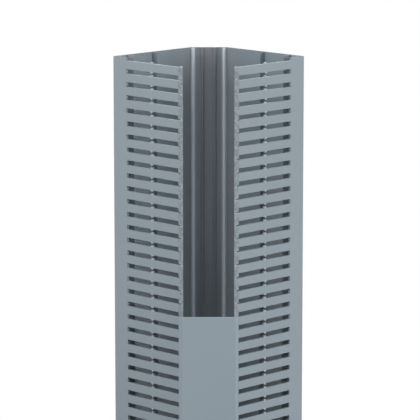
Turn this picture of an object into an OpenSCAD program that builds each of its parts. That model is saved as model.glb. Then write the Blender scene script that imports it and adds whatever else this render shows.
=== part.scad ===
// Corner wiring duct: square slotted stock for the inside corner of an enclosure.
// A cover snaps over the finger tips and closes its mouth.
// The two plain walls stand at the back, joined by a flat across the back corner.
// The two slotted walls stand in front, with the mouth between their finger tips.
// It stands upright on its sawn end, with the middle of its footprint at the origin.

/* [Stock] */
// Length of the duct
duct_len = 1828.8; // [304.8:12.7:1828.8]
// Length of the mouth that the cover leaves open at the top
open_len = 243; // [40:1:280]

/* [Section] */
// Outer side of the square section
side = 131; // [124:0.5:150]
// Wall thickness of the duct
wall_t = 2.2; // [1.8:0.1:2.6]
// Width of the flat across the back corner
flat_w = 36.4; // [30:0.1:44]
// Outer radius of the two side corners
corner_r = 1.2; // [0.6:0.1:2]

/* [Slotted walls] */
// Width of a slotted wall, from the side corner to the finger tips
wall_w = 96.6; // [92:0.1:102]
// Distance from one slot to the next
slot_pitch = 12.7; // [11:0.1:16]
// Height of a slot
slot_h = 4.7; // [4.4:0.1:6]
// Width of the solid strip beside the side corner
strip_w = 18.9; // [14:0.1:24]
// Length of the hooked tip that ends a finger
tip_len = 6.4; // [5:0.1:9]
// Gap between one finger tip and the next, at the ends of the tips
tip_gap = 0.4; // [0.3:0.1:0.8]
// Gap between one finger tip and the next, where it leaves the slot
tip_root_gap = 1.3; // [0.8:0.1:1.8]
// Height of slot left above the first finger by the saw cut
end_cut = 2.8; // [2:0.1:4.2]

/* [Slot nubs] */
// Distance from the side corner to the nubs that narrow a slot
nub_at = 53.5; // [44:0.1:62]
// Width of a nub where it leaves the finger
nub_w = 2.8; // [2:0.1:4.5]
// Width of the blunt end of a nub
nub_end_w = 1.2; // [0.6:0.1:1.8]
// Gap between the two nubs of a slot
nub_gap = 1.7; // [0.6:0.1:2]

/* [Inner ribs] */
// Thickness of the ribs on the plain walls
rib_t = 1.8; // [1.2:0.1:2.6]
// Distance from the side corner to the tall rib
tall_rib_at = 17; // [12:0.1:24]
// Height of the tall rib
tall_rib_h = 9.2; // [5:0.1:12]
// Distance from the side corner to the low rib
low_rib_at = 51.7; // [44:0.1:60]
// Height of the low rib
low_rib_h = 5.7; // [3:0.1:9]
// Width of the round-nosed ridges at both ends of the back flat
ridge_w = 3.5; // [2.4:0.1:4.4]
// Height of those ridges
ridge_h = 2.4; // [2.2:0.1:5]
// Distance from the middle of the back flat to its half-round beads
bead_at = 6.2; // [5:0.1:8]
// Radius of those half-round beads
bead_r = 1.8; // [1:0.1:2.4]

/* [Snap cover] */
// Thickness of the cover
cover_t = 1.5; // [1.2:0.1:2.2]
// Outer radius of the cover's two edges
cover_r = 3.2; // [2.4:0.1:4]
// Width of the lip that catches behind the finger beads
lip_w = 1.2; // [1:0.1:1.8]
// Width of the snap bead along a finger tip
snap_w = 2; // [1.8:0.1:2.8]
// Height of the snap bead above the wall
snap_h = 0.8; // [0.6:0.1:1.3]
// Clearance between the cover and the finger tips
fit = 0.3; // [0.2:0.05:0.5]

/* [Hidden] */
duct_color = [0.55, 0.59, 0.62];
cover_color = [0.56, 0.61, 0.64];
half = side / 2;
flat_leg = flat_w / sqrt(2);
inner_half = half - wall_t;
slot_end = wall_w - tip_len;
nub_h = (slot_h - nub_gap) / 2;
first_slot_z = duct_len - end_cut;
slot_count = floor((first_slot_z + slot_h) / slot_pitch);
cut_over = 1;
round_steps = 6;

// Distances toward the front: the inside of the back flat, and the two faces of the cover plate
floor_d = wall_t - (side - flat_leg) / sqrt(2);
plate_in_d = wall_w / sqrt(2) + fit;
plate_out_d = plate_in_d + cover_t;
// Half width of the inside of the back flat
floor_half = sqrt(2) * inner_half + floor_d;

// Distances outward from a slotted wall, and from the side corner, to the faces of the cover's hooks
hook_in = snap_h + fit;
hook_out = hook_in + cover_t;
lip_face = wall_w - snap_w - fit;
hook_end = lip_face - lip_w;
lip_lead = lip_w / 3;
cover_len = duct_len - open_len;
// The cover's hooks stand out past the slotted walls, so the square's centre is off the footprint's middle
center = [hook_out / 2, hook_out / 2, 0];

// Point at u across the mouth and d toward the front, measured along the section's diagonals
function across(u, d) = [u - d, -u - d] / sqrt(2);
// Point at s from the side corner along a slotted wall and n outward from it
function on_wall(s, n) = [-half - n, half - s];
// Point at s from the side corner along a plain wall and n inward from it
function on_plain(s, n) = [s - half, half - n];
// Same point on the other side of the section's diagonal
function other_side(p) = [p[1], p[0]];
function arc(c, r, from, to) = [
    for (i = [0:round_steps])
        let (a = from + (to - from) * i / round_steps)
            c + r * [cos(a), sin(a)]
];
// Half-round nose of radius r around a point on the section's diagonals
function nose(u, d, r) = [for (p = arc([u, d], r, 180, 0)) across(p[0], p[1])];
function rib(at, h) = [
    on_plain(at, wall_t),
    on_plain(at, wall_t + h),
    on_plain(at + rib_t, wall_t + h),
    on_plain(at + rib_t, wall_t)
];
function mirrored(path) = concat(path, [for (i = [len(path) - 1:-1:0]) other_side(path[i])]);

// Half of the duct's outline, from the back flat round the outside to the finger tip and back inside
duct_half = concat(
    [[half - flat_leg, half]],
    arc([corner_r - half, half - corner_r], corner_r, 90, 180),
    [
        on_wall(wall_w - snap_w, 0),
        on_wall(wall_w - snap_w, snap_h),
        on_wall(wall_w - snap_h, snap_h),
        on_wall(wall_w, 0),
        on_wall(wall_w - wall_t, -wall_t),
        on_plain(wall_t, wall_t)
    ],
    rib(tall_rib_at, tall_rib_h),
    rib(low_rib_at, low_rib_h),
    [across(-floor_half, floor_d)],
    nose(ridge_w / 2 - floor_half, floor_d + ridge_h - ridge_w / 2, ridge_w / 2),
    [across(ridge_w - floor_half, floor_d)],
    nose(-bead_at, floor_d, bead_r)
);

// Half of the cover's outline, from its front face round the hook and back along its inside
cover_half = concat(
    arc(
        [cover_r - hook_out - half, half + hook_out - cover_r - sqrt(2) * (plate_out_d - cover_r)],
        cover_r, 225, 180
    ),
    [
        on_wall(hook_end, hook_out),
        on_wall(hook_end, fit + lip_lead),
        on_wall(hook_end + lip_lead, fit),
        on_wall(lip_face, fit),
        on_wall(lip_face, hook_in),
        [-half - hook_in, half + hook_in - sqrt(2) * plate_in_d]
    ]
);

// Upper and lower edge of the slot that starts at height z, as [distance from the corner, height]
function upper_edge(z) = [
    [wall_w + cut_over, z + tip_gap],
    [slot_end, z + tip_root_gap],
    [slot_end, z + slot_h],
    [nub_at + nub_w / 2, z + slot_h],
    [nub_at + nub_end_w / 2, z + slot_h - nub_h],
    [nub_at - nub_end_w / 2, z + slot_h - nub_h],
    [nub_at - nub_w / 2, z + slot_h],
    [strip_w, z + slot_h]
];
function lower_nub(z) = [
    [nub_at - nub_w / 2, z],
    [nub_at - nub_end_w / 2, z + nub_h],
    [nub_at + nub_end_w / 2, z + nub_h],
    [nub_at + nub_w / 2, z]
];
function lower_edge(z) = concat(
    [[strip_w, z]],
    z > 0 ? lower_nub(z) : [],
    [[wall_w + cut_over, z]]
);

// All the slots of one wall as one comb: the sawn one at the top, then the others down to the bottom end
module slot_comb() {
    slot_z = [for (i = [0:slot_count]) first_slot_z - i * slot_pitch];
    outline = concat(
        [[wall_w + 2 * cut_over, duct_len + cut_over], [strip_w, duct_len + cut_over]],
        lower_edge(slot_z[0]),
        [for (i = [1:slot_count], p = concat(upper_edge(slot_z[i]), lower_edge(slot_z[i]))) p],
        [[wall_w + 2 * cut_over, slot_z[slot_count]]]
    );
    translate([-half - snap_h - cut_over, 0, 0])
        rotate([90, 0, 90])
            linear_extrude(wall_t + snap_h + 2 * cut_over)
                polygon([for (p = outline) [half - p[0], p[1]]]);
}

module duct() {
    color(duct_color)
        translate(center)
            difference() {
                linear_extrude(duct_len)
                    polygon(mirrored(duct_half));
                slot_comb();
                mirror([1, -1, 0])
                    slot_comb();
            }
}

module cover() {
    color(cover_color)
        translate(center)
            linear_extrude(cover_len)
                polygon(mirrored(cover_half));
}

duct();
cover();
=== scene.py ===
"""Corner wiring duct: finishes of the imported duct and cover, and the studio that shows them."""
import math
import random

import bmesh
import bpy
from mathutils import Euler, Matrix, Vector


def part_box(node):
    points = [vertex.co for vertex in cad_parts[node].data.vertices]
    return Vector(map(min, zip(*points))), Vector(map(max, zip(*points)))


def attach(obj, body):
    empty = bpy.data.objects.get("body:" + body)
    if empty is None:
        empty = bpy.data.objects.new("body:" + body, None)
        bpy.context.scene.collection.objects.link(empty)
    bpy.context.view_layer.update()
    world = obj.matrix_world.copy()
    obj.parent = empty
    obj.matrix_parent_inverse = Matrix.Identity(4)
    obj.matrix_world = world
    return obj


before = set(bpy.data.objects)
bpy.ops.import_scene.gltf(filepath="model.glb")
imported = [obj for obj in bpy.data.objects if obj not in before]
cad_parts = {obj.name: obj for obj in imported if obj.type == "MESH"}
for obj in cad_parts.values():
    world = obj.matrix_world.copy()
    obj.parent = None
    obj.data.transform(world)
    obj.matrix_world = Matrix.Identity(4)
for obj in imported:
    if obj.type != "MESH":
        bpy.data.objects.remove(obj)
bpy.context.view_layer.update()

bl_info = {
    "name": "Corner Wiring Duct",
    "version": (1, 0, 0),
    "blender": (4, 5, 0),
    "location": "3D View > Sidebar > Duct",
    "description": "Finishes a corner wiring duct with its snap cover and sets up its studio",
    "category": "Object",
}

DUCT_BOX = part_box("duct")
DUCT_TOP = DUCT_BOX[1].z
COVER_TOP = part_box("cover")[1].z

# Sizes that the finishes follow, as the solids have them, in metres
SIDE = 0.131
WALL_T = 0.0022
WALL_W = 0.0966
STRIP_W = 0.0189
SLOT_PITCH = 0.0127
SLOT_H = 0.0047
SLOT_END = 0.0902
NUB_AT = 0.0535
NUB_W = 0.0028
END_CUT = 0.0028
TIP_BEVEL = 0.0008
FLAT_W = 0.0364
TALL_RIB_AT = 0.017
RIDGE_W = 0.0035
RIDGE_H = 0.0024

# Middle of the square section: the duct's plain walls reach the far sides of its box
CENTER = DUCT_BOX[1].x - SIDE / 2
# Outer faces of the slotted walls and of the plain walls, the same along X and along Y
FRONT_FACE = CENTER - SIDE / 2
BACK_FACE = CENTER + SIDE / 2
# Inside of the back flat: how deep it lies behind the middle along the diagonal, and half its width
DIAGONAL = math.sqrt(0.5)
FLAT_DEPTH = SIDE * DIAGONAL - FLAT_W / 2 - WALL_T
FLAT_HALF = FLAT_W / 2 - WALL_T * (math.sqrt(2) - 1)
FIRST_SLOT = DUCT_TOP - END_CUT
FINGER_COUNT = int(FIRST_SLOT / SLOT_PITCH) + 1
TIP_LEN = WALL_W - SLOT_END
TIP_MIDDLE = SLOT_END + TIP_LEN / 2

# How far the tones reach past the shapes that they follow, in metres
MARGIN = 0.0001
NUB_MARGIN = 0.0004
RIDGE_MARGIN = 0.0005
RIDGE_FADE = 0.0024
# Width of the white on a nub, in nub widths
NUB_SPREAD = 1.2
# Heights above the back flat: the ridges' tone starts, the corner's painted warm light starts and is full,
# and the painted shade on the flat ends
RIDGE_FOOT = 0.0002
CORNER_START = 0.018
CORNER_FULL = 0.006
FLAT_SHADE_H = 0.002
# Torn spots above and below a gap between finger tips, their shift toward the tips' ends and share of a tip
TEAR_ABOVE = 0.0018
TEAR_BELOW = 0.0009
TEAR_ASIDE = 0.0006
TEAR_SHARE = 0.6
# Depth of the sawn tone on a rounded edge, in edge radii
SAWN_EDGE = 1.5

# Torn stubs: depth sunk into the finger, width of the top beside the foot, and seed of their sizes
STUB_SINK = 0.0001
STUB_TAPER = 0.6
STUB_SEED = 7
# Rounded edges: distance at which points are one, and least angle of an edge
WELD_GAP = 0.00001
EDGE_ANGLE = math.radians(35)

# Noise and wave scales, and the share of its scale that the die line noise has along the duct
CLOUD_SCALE = 14.0
SAW_SCALE = 90.0
FIBRE_SCALE = 220.0
TIP_MOTTLE_SCALE = 380.0
SPECK_SCALE = 520.0
TORN_SCALE = 900.0
GRAIN_SCALE = 2600.0
DIE_LINE_STRETCH = 0.004
# Noise values between which the mottle of the tips' painted shade and the torn specks fade
TIP_MOTTLE_FADE = (0.38, 0.62)
SPECK_FADE = (0.45, 0.62)
# White of the nubs, and how much more the grain adds to it
NUB_WHITE = 0.35
NUB_GRAIN = 0.5
# Spread of the plastic's tone, share of the clouds in it, and spread of the sawn ends' tone
TONE_SPREAD = 0.045
CLOUD_SHARE = 0.6
SAW_SPREAD = 0.1
# Heights of the die lines, the grain and the saw marks in the fine relief
DIE_RELIEF = 0.7
GRAIN_RELIEF = 0.3
SAW_RELIEF = 2
# Spread of the roughness, how much rougher the sawn ends are, and roughness of torn plastic
ROUGHNESS_SPREAD = 0.12
SAWN_ROUGHNESS = 0.25
TORN_ROUGHNESS = 0.75
PVC_IOR = 1.53

# Distances from the duct's axis over which the floor turns white in two steps, and the first step's share
CONTACT_FADE = (0.07, 0.4)
HORIZON_FADE = (0.5, 2.6)
NEAR_WHITE = 0.4
# Shade of the darker fibres in the floor's paper, and size of the floor in metres
FIBRE_SHADE = 0.985
FLOOR_RADIUS = 4.0
# Depth below the sawn end of the middle of the part that the photograph shows
OPEN_MIDDLE = 0.17
# The photograph's frame in pixels, and the camera's sensor in millimetres
PHOTO_SIZE = 420
SENSOR_WIDTH = 36.0


class DuctFinish(bpy.types.PropertyGroup):
    """Colours, painted light and shade, and fine sizes of the extruded plastic."""

    pvc: bpy.props.FloatVectorProperty(
        name="PVC", description="Grey of the extruded duct",
        subtype="COLOR", size=3, min=0, max=1, default=(0.280, 0.337, 0.379))
    cover_pvc: bpy.props.FloatVectorProperty(
        name="Cover PVC", description="Grey of the extruded cover",
        subtype="COLOR", size=3, min=0, max=1, default=(0.302, 0.369, 0.416))
    # Painted warm light inside the back corner
    corner_painted_light: bpy.props.FloatVectorProperty(
        name="Inner PVC", description="Warmer grey of the inside of the back corner",
        subtype="COLOR", size=3, min=0, max=1, default=(0.312, 0.346, 0.377))
    # Painted light in the side corners behind the tall ribs, a paler grey
    pocket_painted_light: bpy.props.FloatVectorProperty(
        name="Pocket PVC", description="Pale bloom inside the side corners, behind the tall ribs",
        subtype="COLOR", size=3, min=0, max=1, default=(0.37, 0.41, 0.435))
    # Painted shade on the back flat
    flat_painted_shade: bpy.props.FloatProperty(
        name="Flat darkening", description="How much darker the back flat is than the walls beside it",
        subtype="FACTOR", min=0, max=1, default=0.24)
    stress_white: bpy.props.FloatVectorProperty(
        name="Stress white", description="Pale tone where the plastic was torn or bent",
        subtype="COLOR", size=3, min=0, max=1, default=(0.50, 0.55, 0.58))
    # Paler edges: partly whitened punched plastic, partly painted highlight
    edge_whitening_and_highlight: bpy.props.FloatProperty(
        name="Edge whitening", description="How much paler punched and rubbed edges are than the faces",
        subtype="FACTOR", min=0, max=1, default=0.16)
    # Painted shade on the finger tips, mottled by noise
    tip_painted_shade: bpy.props.FloatProperty(
        name="Tip darkening", description="How much darker the finger tips are where the cover rubs",
        subtype="FACTOR", min=0, max=1, default=0.28)
    # Paler tone between the darker spots of that painted shade on the tips
    tip_paling: bpy.props.FloatProperty(
        name="Tip paling", description="How much paler the finger tips are between the rubbed spots",
        subtype="FACTOR", min=0, max=1, default=0.035)
    ridge_pvc: bpy.props.FloatVectorProperty(
        name="Ridge PVC", description="Pale tone of the two ridges at the ends of the back flat",
        subtype="COLOR", size=3, min=0, max=1, default=(0.80, 0.90, 0.95))
    ridge_haze: bpy.props.FloatProperty(
        name="Ridge haze", description="Share of the pale tone that fades out beside the two ridges",
        subtype="FACTOR", min=0, max=1, default=0.24)
    # Painted shade on the duct's sawn ends, which saw marks vary
    sawn_end_painted_shade: bpy.props.FloatProperty(
        name="Saw darkening", description="How much darker the duct's sawn ends are than its faces",
        subtype="FACTOR", min=0, max=1, default=0.45)
    stub_length: bpy.props.FloatProperty(
        name="Stub length", description="Length of the torn stub on a finger tip's upper edge",
        unit="LENGTH", min=0.0005, max=0.004, default=0.0026)
    stub_height: bpy.props.FloatProperty(
        name="Stub height", description="Height of those stubs, less than the gap between two tips",
        unit="LENGTH", min=0.0001, max=0.0006, default=0.00045)
    end_stub_length: bpy.props.FloatProperty(
        name="End stub length", description="Length of the stubs on the two fingers at the sawn end",
        unit="LENGTH", min=0.0005, max=0.006, default=0.0046)
    end_stub_height: bpy.props.FloatProperty(
        name="End stub height", description="Height of the stubs on the two fingers at the sawn end",
        unit="LENGTH", min=0.0001, max=0.002, default=0.0013)
    edge_radius: bpy.props.FloatProperty(
        name="Edge radius", description="Rounding of the punched edges",
        unit="LENGTH", min=0, default=0.0002)
    die_line_width: bpy.props.FloatProperty(
        name="Die line width", description="Spacing of the fine lines that the extrusion die leaves",
        unit="LENGTH", min=0.0001, default=0.0016)
    roughness: bpy.props.FloatProperty(
        name="Roughness", description="Roughness of the satin faces",
        subtype="FACTOR", min=0, max=1, default=0.42)


class StudioSetup(bpy.types.PropertyGroup):
    """Camera and light, measured from the top of the duct."""

    camera_turn: bpy.props.FloatProperty(
        name="Camera turn", description="Turn of the camera about the duct; the mouth faces it",
        subtype="ANGLE", default=math.radians(-45))
    camera_tilt: bpy.props.FloatProperty(
        name="Camera tilt", description="How far the camera looks down",
        subtype="ANGLE", default=math.radians(10.075))
    camera_distance: bpy.props.FloatProperty(
        name="Camera distance", description="Level distance from the duct's axis",
        unit="LENGTH", default=2.6684)
    camera_above: bpy.props.FloatProperty(
        name="Camera above top", description="Height of the camera above the duct's upper end",
        unit="LENGTH", default=0.3233)
    camera_aside: bpy.props.FloatProperty(
        name="Camera aside", description="Sideways place of the camera",
        unit="LENGTH", default=0.0013)
    focal_px: bpy.props.FloatProperty(
        name="Focal length", description="Focal length of the photograph in its own pixels",
        default=2777.7)
    left_power: bpy.props.FloatProperty(
        name="Left softbox", description="Power of the near softbox at the left",
        unit="POWER", min=0, default=4.1)
    right_power: bpy.props.FloatProperty(
        name="Right softbox", description="Power of the softbox at the right",
        unit="POWER", min=0, default=29.0)
    front_power: bpy.props.FloatProperty(
        name="Front softbox", description="Power of the weak softbox above the camera",
        unit="POWER", min=0, default=4.4)
    top_power: bpy.props.FloatProperty(
        name="Top softbox", description="Power of the softbox above the open end",
        unit="POWER", min=0, default=17.0)
    back_power: bpy.props.FloatProperty(
        name="Back softbox", description="Power of the softbox behind the duct",
        unit="POWER", min=0, default=22.0)
    ambient: bpy.props.FloatProperty(
        name="Ambient", description="Strength of the even light from all round",
        min=0, default=0.16)
    floor_grey: bpy.props.FloatProperty(
        name="Floor grey", description="Paleness of the floor",
        subtype="FACTOR", min=0, max=1, default=0.82)


class Wire:
    """A socket of a shader tree. Sums and products of wires add Math nodes to the tree."""

    def __init__(self, tree, socket=None):
        self.tree = tree
        self.socket = socket

    def node(self, kind, settings=None, inputs=None, output=0):
        """Adds a node, gives it its settings and then its inputs, and returns one of its outputs."""
        made = self.tree.nodes.new(kind)
        for name, value in (settings or {}).items():
            setattr(made, name, value)
        for name, value in (inputs or {}).items():
            if isinstance(value, Wire):
                self.tree.links.new(value.socket, made.inputs[name])
            else:
                made.inputs[name].default_value = value
        return Wire(self.tree, made.outputs[output])

    def math(self, operation, first, second=0.0):
        """The outcome of one Math node."""
        return self.node("ShaderNodeMath", {"operation": operation}, {0: first, 1: second})

    def __add__(self, other):
        return self.math("ADD", self, other)

    __radd__ = __add__

    def __sub__(self, other):
        return self.math("SUBTRACT", self, other)

    def __rsub__(self, other):
        return self.math("SUBTRACT", other, self)

    def __mul__(self, other):
        return self.math("MULTIPLY", self, other)

    __rmul__ = __mul__

    def __mod__(self, other):
        return self.math("FLOORED_MODULO", self, other)

    def __abs__(self):
        return self.math("ABSOLUTE", self)

    def __gt__(self, other):
        return self.math("GREATER_THAN", self, other)

    def __lt__(self, other):
        return self.math("LESS_THAN", self, other)

    def ramp(self, start, end):
        """0 up to the start and 1 from the end on, with a smooth rise between."""
        return self.node("ShaderNodeMapRange", {"interpolation_type": "SMOOTHSTEP"}, {
            "Value": self, "From Min": start, "From Max": end})


def new_material(name):
    """An empty node material, with the wire that starts its tree and its output node."""
    material = bpy.data.materials.new(name)
    material.use_nodes = True
    material.node_tree.nodes.clear()
    output = material.node_tree.nodes.new("ShaderNodeOutputMaterial")
    return material, Wire(material.node_tree), output


def noise(place, scale, detail):
    """Cloudy noise over a wire of coordinates."""
    return place.node("ShaderNodeTexNoise", inputs={"Vector": place, "Scale": scale, "Detail": detail})


def mix_colour(start, factor, first, second):
    """The first colour where the factor is 0, and the second where it is 1."""
    return start.node(
        "ShaderNodeMix", {"data_type": "RGBA"}, {0: factor, 6: first, 7: second}, output=2)


def shade(colour, factor):
    """A colour made lighter or darker by one factor, with full opacity."""
    return tuple(min(1.0, c * factor) for c in colour) + (1.0,)


def ridge_mask(x, y, haze):
    """1 on the ridges at both ends of the back flat, and the haze that fades out beside them."""
    across = abs((x - y) * DIAGONAL)
    depth = (x + y - 2 * CENTER) * DIAGONAL
    on_ridge = (across > FLAT_HALF - RIDGE_W - MARGIN) * (across < FLAT_HALF + RIDGE_MARGIN)
    above_flat = (depth < FLAT_DEPTH - RIDGE_FOOT) * (depth > FLAT_DEPTH - RIDGE_H - RIDGE_MARGIN)
    ridge = on_ridge * above_flat
    away = abs(across - (FLAT_HALF - RIDGE_W / 2))
    beside = (1 - away.ramp(RIDGE_W / 2, RIDGE_W / 2 + RIDGE_FADE)) * haze
    near_flat = (depth > FLAT_DEPTH - RIDGE_H - RIDGE_FADE) * (depth < FLAT_DEPTH + MARGIN)
    return ridge.math("MAXIMUM", ridge, beside * near_flat)


def painted_corner_masks(x, y):
    """1 where warm light is painted inside the back corner, fading out along the plain walls, and 1 on its
    flat alone, where shade is painted.
    """
    depth = (x + y - 2 * CENTER) * DIAGONAL
    wall = BACK_FACE - WALL_T + MARGIN
    inside = (x < wall) * (y < wall) * (depth < FLAT_DEPTH + MARGIN)
    corner = depth.ramp(FLAT_DEPTH - CORNER_START, FLAT_DEPTH - CORNER_FULL)
    return corner * inside, (depth > FLAT_DEPTH - FLAT_SHADE_H) * inside


def painted_light_pocket_mask(x, y):
    """1 inside the two side corners, up to the tall ribs, where light is painted."""
    front = FRONT_FACE + WALL_T - MARGIN
    rib = FRONT_FACE + TALL_RIB_AT + MARGIN
    strip = BACK_FACE - STRIP_W
    wall = BACK_FACE - WALL_T + MARGIN
    left = (x > front) * (x < rib) * (y > strip) * (y < wall)
    right = (y > front) * (y < rib) * (x > strip) * (x < wall)
    return left + right


def front_mask(x, y, along, width):
    """1 on both slotted walls, within a width around a distance from their side corners."""
    front = FRONT_FACE + WALL_T + MARGIN
    far = BACK_FACE - along
    on_a = (x < front) * (abs(y - far) < width / 2)
    on_b = (y < front) * (abs(x - far) < width / 2)
    return on_a + on_b


def nub_mask(x, y, height):
    """1 on the nubs in the slots of both slotted walls, where punching whitens them."""
    slot = (height - FIRST_SLOT) % SLOT_PITCH
    beside_slot = (slot < SLOT_H + NUB_MARGIN) + (slot > SLOT_PITCH - NUB_MARGIN)
    return beside_slot * front_mask(x, y, NUB_AT, NUB_W * NUB_SPREAD)


def tear_mask(x, y, height):
    """1 around the gaps between the finger tips, where the tips were torn apart."""
    slot = (height - FIRST_SLOT) % SLOT_PITCH
    near_gap = (slot < TEAR_ABOVE) + (slot > SLOT_PITCH - TEAR_BELOW)
    return near_gap * front_mask(x, y, TIP_MIDDLE + TEAR_ASIDE, TIP_LEN * TEAR_SHARE)


def duct_marks(start, place, base, colour, finish, lift):
    """Lays tones over the duct's base colour: painted light in the corners, painted shade on the flat and
    tips, and the pale ridges, nubs and torn spots.
    """
    x, y, height = (
        start.node("ShaderNodeSeparateXYZ", inputs={0: place}, output=axis) for axis in "XYZ")
    # Painted warm light inside the back corner, with painted shade on its flat
    corner, flat = painted_corner_masks(x, y)
    inner = mix_colour(
        start, flat, shade(finish.corner_painted_light, lift),
        shade(finish.corner_painted_light, (1 - finish.flat_painted_shade) * lift))
    base = mix_colour(start, corner, base, inner)
    # Painted light in the side corners behind the tall ribs
    base = mix_colour(start, painted_light_pocket_mask(x, y), base, shade(finish.pocket_painted_light, lift))

    # Painted shade on the finger tips, mottled by noise
    rubs = noise(place, TIP_MOTTLE_SCALE, 2.0).ramp(*TIP_MOTTLE_FADE)
    rubbed = mix_colour(
        start, rubs, shade(colour, (1 - finish.tip_painted_shade) * lift),
        shade(colour, (1 + finish.tip_paling) * lift))
    base = mix_colour(start, front_mask(x, y, TIP_MIDDLE, TIP_LEN), base, rubbed)
    base = mix_colour(start, ridge_mask(x, y, finish.ridge_haze), base, shade(finish.ridge_pvc, 1))

    grain = noise(place, GRAIN_SCALE, 2.0)
    whitened = nub_mask(x, y, height) * (NUB_WHITE + grain * NUB_GRAIN)
    torn = tear_mask(x, y, height) * noise(place, SPECK_SCALE, 2.0).ramp(*SPECK_FADE)
    return mix_colour(start, whitened + torn, base, shade(finish.stress_white, 1))


def pvc_material(name, colour, finish, end_z, painted_end_light, edge=False, marks=False):
    """Satin extruded PVC: die lines along the length, faint cloudiness, and sawn ends at 0 and end_z in a
    given tone, which paints shade on the duct's ends and a highlight on the cover's.
    """
    material, start, output = new_material(name)
    place = start.node("ShaderNodeTexCoord", output="Object")
    height = start.node("ShaderNodeSeparateXYZ", inputs={0: place}, output="Z")
    along = start.node("ShaderNodeMapping", inputs={
        "Vector": place, "Scale": (1.0, 1.0, DIE_LINE_STRETCH)})
    die_lines = noise(along, 1 / finish.die_line_width, 3.0)
    clouds = noise(place, CLOUD_SCALE, 4.0)
    grain = noise(place, GRAIN_SCALE, 2.0)
    saw_marks = start.node(
        "ShaderNodeTexWave", {"wave_type": "RINGS"},
        {"Vector": place, "Scale": SAW_SCALE, "Distortion": 1.5, "Detail": 2.0})

    end_depth = finish.edge_radius * SAWN_EDGE if edge else MARGIN
    sawn = (height > end_z - end_depth) + (height < end_depth)
    # Edges are paler: partly whitened plastic, partly painted highlight
    lift = 1 + finish.edge_whitening_and_highlight if edge else 1.0
    tone = clouds * CLOUD_SHARE + die_lines * (1 - CLOUD_SHARE)
    base = mix_colour(
        start, tone, shade(colour, (1 - TONE_SPREAD) * lift), shade(colour, (1 + TONE_SPREAD) * lift))
    if marks:
        base = duct_marks(start, place, base, colour, finish, lift)
    # Sawn ends in the given tone: painted shade on the duct, painted highlight on the cover, varied by saw
    # marks
    end = mix_colour(
        start, saw_marks, shade(colour, painted_end_light - SAW_SPREAD), shade(colour, painted_end_light + SAW_SPREAD))
    base = mix_colour(start, sawn, base, end)

    relief = die_lines * DIE_RELIEF + grain * GRAIN_RELIEF + sawn * saw_marks * SAW_RELIEF
    bump = start.node(
        "ShaderNodeBump", inputs={"Strength": 0.22, "Distance": 0.00012, "Height": relief})
    surface = start.node("ShaderNodeBsdfPrincipled", inputs={
        "Base Color": base,
        "Roughness": finish.roughness + (clouds - 0.5) * ROUGHNESS_SPREAD + sawn * SAWN_ROUGHNESS,
        "IOR": PVC_IOR,
        "Normal": bump,
    })
    start.tree.links.new(surface.socket, output.inputs["Surface"])
    return material


def dress(node, faces, edges, edge_radius):
    """Gives a CAD node its face material, and softly rounded edges in their own paler material, partly
    painted highlight.
    """
    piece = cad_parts[node]
    piece.data.materials.clear()
    piece.data.materials.append(faces)
    piece.data.materials.append(edges)
    weld = piece.modifiers.new("Weld", "WELD")
    weld.merge_threshold = WELD_GAP
    bevel = piece.modifiers.new("Edges", "BEVEL")
    bevel.width = edge_radius
    bevel.segments = 2
    bevel.limit_method = "ANGLE"
    bevel.angle_limit = EDGE_ANGLE
    bevel.material = 1
    normals = piece.modifiers.new("Normals", "WEIGHTED_NORMAL")
    normals.mode = "FACE_AREA"
    normals.weight = 100


class DUCT_OT_finish_duct(bpy.types.Operator):
    """Gives the slotted duct its satin plastic, its tones with painted light and shade, and its rounded
    edges
    """

    bl_idname = "corner_duct.finish_duct"
    bl_label = "Finish Duct"

    def execute(self, context):
        finish = context.scene.duct_finish
        # Painted shade on the sawn ends
        painted_end_light = 1 - finish.sawn_end_painted_shade
        faces = pvc_material("duct_pvc", finish.pvc, finish, DUCT_TOP, painted_end_light, marks=True)
        edges = pvc_material("duct_pvc_edge", finish.pvc, finish, DUCT_TOP, painted_end_light, edge=True, marks=True)
        dress("duct", faces, edges, finish.edge_radius)
        return {"FINISHED"}


class DUCT_OT_finish_cover(bpy.types.Operator):
    """Gives the snap cover its satin plastic and its rounded ends, with a painted highlight on its sawn
    ends
    """

    bl_idname = "corner_duct.finish_cover"
    bl_label = "Finish Cover"

    def execute(self, context):
        finish = context.scene.duct_finish
        # Painted highlight on the sawn ends
        painted_end_light = 1 + finish.edge_whitening_and_highlight
        faces = pvc_material("cover_pvc", finish.cover_pvc, finish, COVER_TOP, painted_end_light)
        edges = pvc_material("cover_pvc_edge", finish.cover_pvc, finish, COVER_TOP, painted_end_light, edge=True)
        dress("cover", faces, edges, finish.edge_radius)
        return {"FINISHED"}


def on_front_wall(wall, along, outward, height):
    """Point on a slotted wall, from its side corner toward the mouth and outward from its face."""
    face = FRONT_FACE - outward
    beside = BACK_FACE - along
    return Vector((face, beside, height) if wall == "a" else (beside, face, height))


def add_stub(bm, wall, height, size):
    """A tapered stub on the upper edge of a finger tip, sunk a little into the finger."""
    length, depth, rise = size
    along = WALL_W - TIP_BEVEL - length / 2
    middle = on_front_wall(wall, along, -depth / 2, height + (rise - STUB_SINK) / 2)
    stretch = (depth, length) if wall == "a" else (length, depth)
    bmesh.ops.create_cone(
        bm, cap_ends=True, segments=4, radius1=DIAGONAL, radius2=STUB_TAPER * DIAGONAL, depth=1.0,
        matrix=Matrix.Translation(middle) @ Matrix.Diagonal((*stretch, rise + STUB_SINK, 1.0))
        @ Matrix.Rotation(math.radians(45), 4, "Z"))


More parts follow.
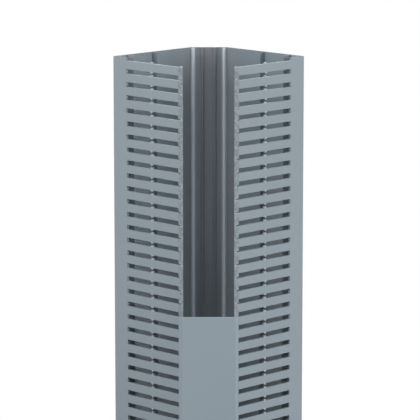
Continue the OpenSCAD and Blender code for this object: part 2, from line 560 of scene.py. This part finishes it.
class DUCT_OT_tear_tips(bpy.types.Operator):
    """Adds the pale stubs that are left on the finger tips where the tips were torn apart"""

    bl_idname = "corner_duct.tear_tips"
    bl_label = "Tear Tips"

    def execute(self, context):
        finish = context.scene.duct_finish
        chance = random.Random(STUB_SEED)
        bm = bmesh.new()
        for wall in "ab":
            for finger in range(FINGER_COUNT):
                rise = finish.stub_height if finger else finish.end_stub_height
                length = finish.stub_length if finger else finish.end_stub_length
                add_stub(bm, wall, FIRST_SLOT - finger * SLOT_PITCH, (
                    length * chance.uniform(0.6, 1.0),
                    WALL_T * chance.uniform(0.5, 0.8),
                    rise * chance.uniform(0.7, 1.0)))
        mesh = bpy.data.meshes.new("tip_stubs")
        bm.to_mesh(mesh)
        bm.free()
        stubs = bpy.data.objects.new("tip_stubs", mesh)
        context.collection.objects.link(stubs)

        material, start, output = new_material("torn_pvc")
        grain = noise(start.node("ShaderNodeTexCoord", output="Object"), TORN_SCALE, 3.0)
        base = mix_colour(start, grain, shade(finish.pvc, 1.1), shade(finish.stress_white, 1.2))
        surface = start.node("ShaderNodeBsdfPrincipled", inputs={
            "Base Color": base, "Roughness": TORN_ROUGHNESS, "IOR": PVC_IOR})
        start.tree.links.new(surface.socket, output.inputs["Surface"])
        mesh.materials.append(material)
        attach(stubs, "duct")
        return {"FINISHED"}


def seen_rays(start):
    """1 for the rays by which the camera sees a thing, straight or in a reflection, and 0 for its light."""
    camera, glossy, through = (
        start.node("ShaderNodeLightPath", output=name)
        for name in ("Is Camera Ray", "Is Glossy Ray", "Is Transmission Ray"))
    return start.math("MAXIMUM", camera, start.math("MAXIMUM", glossy, through))


def make_floor(grey):
    """A round pale floor that keeps the shadow near the duct and fades to the backdrop's white."""
    bm = bmesh.new()
    bmesh.ops.create_circle(bm, cap_ends=True, segments=96, radius=FLOOR_RADIUS)
    mesh = bpy.data.meshes.new("floor")
    bm.to_mesh(mesh)
    bm.free()
    floor = bpy.data.objects.new("floor", mesh)
    bpy.context.collection.objects.link(floor)

    material, start, output = new_material("floor_paper")
    place = start.node("ShaderNodeTexCoord", output="Object")
    reach = start.node("ShaderNodeVectorMath", {"operation": "LENGTH"}, {0: place}, output="Value")
    fibre = noise(place, FIBRE_SCALE, 3.0)
    colour = mix_colour(start, fibre, shade((grey,) * 3, FIBRE_SHADE), shade((grey,) * 3, 1))
    paper = start.node("ShaderNodeBsdfDiffuse", inputs={"Color": colour})
    white = start.node("ShaderNodeEmission", inputs={"Color": (1, 1, 1, 1), "Strength": 1.0})
    far = reach.ramp(*CONTACT_FADE) * NEAR_WHITE + reach.ramp(*HORIZON_FADE) * (1 - NEAR_WHITE)
    surface = start.node("ShaderNodeMixShader", inputs={0: seen_rays(start) * far, 1: paper, 2: white})
    start.tree.links.new(surface.socket, output.inputs["Surface"])
    mesh.materials.append(material)


def make_world(ambient):
    """Even grey light from all round, which shows as white to the camera and in reflections."""
    world = bpy.data.worlds.new("studio")
    bpy.context.scene.world = world
    world.use_nodes = True
    world.node_tree.nodes.clear()
    output = world.node_tree.nodes.new("ShaderNodeOutputWorld")
    start = Wire(world.node_tree)
    strength = ambient + seen_rays(start) * (1 - ambient)
    background = start.node("ShaderNodeBackground", inputs={"Color": (1, 1, 1, 1), "Strength": strength})
    start.tree.links.new(background.socket, output.inputs["Surface"])


def make_softbox(name, place, target, size, power):
    """A rectangular area light at a place, turned toward a target."""
    light = bpy.data.lights.new(name, "AREA")
    light.shape = "RECTANGLE"
    light.size, light.size_y = size
    light.energy = power
    lamp = bpy.data.objects.new(name, light)
    lamp.location = place
    lamp.rotation_euler = (target - place).to_track_quat("-Z", "Y").to_euler()
    bpy.context.collection.objects.link(lamp)


class DUCT_OT_set_stage(bpy.types.Operator):
    """Sets up the floor, the soft light and the photograph's camera"""

    bl_idname = "corner_duct.set_stage"
    bl_label = "Set Stage"

    def execute(self, context):
        scene = context.scene
        setup = scene.duct_studio
        scene.view_settings.view_transform = "Standard"
        make_floor(setup.floor_grey)
        make_world(setup.ambient)

        turn = setup.camera_turn
        toward = Vector((math.sin(turn), -math.cos(turn), 0.0))
        right = Vector((math.cos(turn), math.sin(turn), 0.0))
        up = Vector((0.0, 0.0, 1.0))
        middle = up * (DUCT_TOP - OPEN_MIDDLE)
        # Degrees aside from the camera and up from level, distance, size and power
        for name, aside, rise, reach, size, power in (
            ("left_softbox", -59, 15, 1.0, (0.35, 0.45), setup.left_power),
            ("right_softbox", 58, 8, 2.2, (1.1, 1.1), setup.right_power),
            ("front_softbox", -5, 25, 2.2, (0.4, 0.4), setup.front_power),
            ("top_softbox", -65, 74, 2.2, (0.5, 1.3), setup.top_power),
            ("back_softbox", 180, 45, 2.2, (1.0, 1.0), setup.back_power),
        ):
            aside = math.radians(aside)
            rise = math.radians(rise)
            level = toward * math.cos(aside) + right * math.sin(aside)
            place = middle + reach * (level * math.cos(rise) + up * math.sin(rise))
            make_softbox(name, place, middle, size, power)

        camera = bpy.data.cameras.new("camera")
        camera.sensor_width = SENSOR_WIDTH
        camera.lens = SENSOR_WIDTH * setup.focal_px / PHOTO_SIZE
        viewer = bpy.data.objects.new("camera", camera)
        viewer.location = (
            toward * setup.camera_distance + right * setup.camera_aside
            + up * (DUCT_TOP + setup.camera_above))
        viewer.rotation_euler = Euler((math.pi / 2 - setup.camera_tilt, 0.0, turn))
        scene.collection.objects.link(viewer)
        scene.camera = viewer
        return {"FINISHED"}


class DUCT_PT_panel(bpy.types.Panel):
    """Lists the finishes, the studio and their operators"""

    bl_idname = "DUCT_PT_panel"
    bl_label = "Corner Wiring Duct"
    bl_space_type = "VIEW_3D"
    bl_region_type = "UI"
    bl_category = "Duct"

    def draw(self, context):
        for group, operators in (
            (context.scene.duct_finish, (DUCT_OT_finish_duct, DUCT_OT_finish_cover, DUCT_OT_tear_tips)),
            (context.scene.duct_studio, (DUCT_OT_set_stage,)),
        ):
            box = self.layout.box()
            for name in type(group).__annotations__:
                box.prop(group, name)
            for operator in operators:
                box.operator(operator.bl_idname)


CLASSES = (
    DuctFinish,
    StudioSetup,
    DUCT_OT_finish_duct,
    DUCT_OT_finish_cover,
    DUCT_OT_tear_tips,
    DUCT_OT_set_stage,
    DUCT_PT_panel,
)


def register():
    for cls in CLASSES:
        bpy.utils.register_class(cls)
    bpy.types.Scene.duct_finish = bpy.props.PointerProperty(type=DuctFinish)
    bpy.types.Scene.duct_studio = bpy.props.PointerProperty(type=StudioSetup)


def unregister():
    del bpy.types.Scene.duct_studio
    del bpy.types.Scene.duct_finish
    for cls in reversed(CLASSES):
        bpy.utils.unregister_class(cls)


def main():
    register()
    bpy.ops.corner_duct.finish_duct()
    bpy.ops.corner_duct.finish_cover()
    bpy.ops.corner_duct.tear_tips()
    bpy.ops.corner_duct.set_stage()


if __name__ == "__main__":
    main()
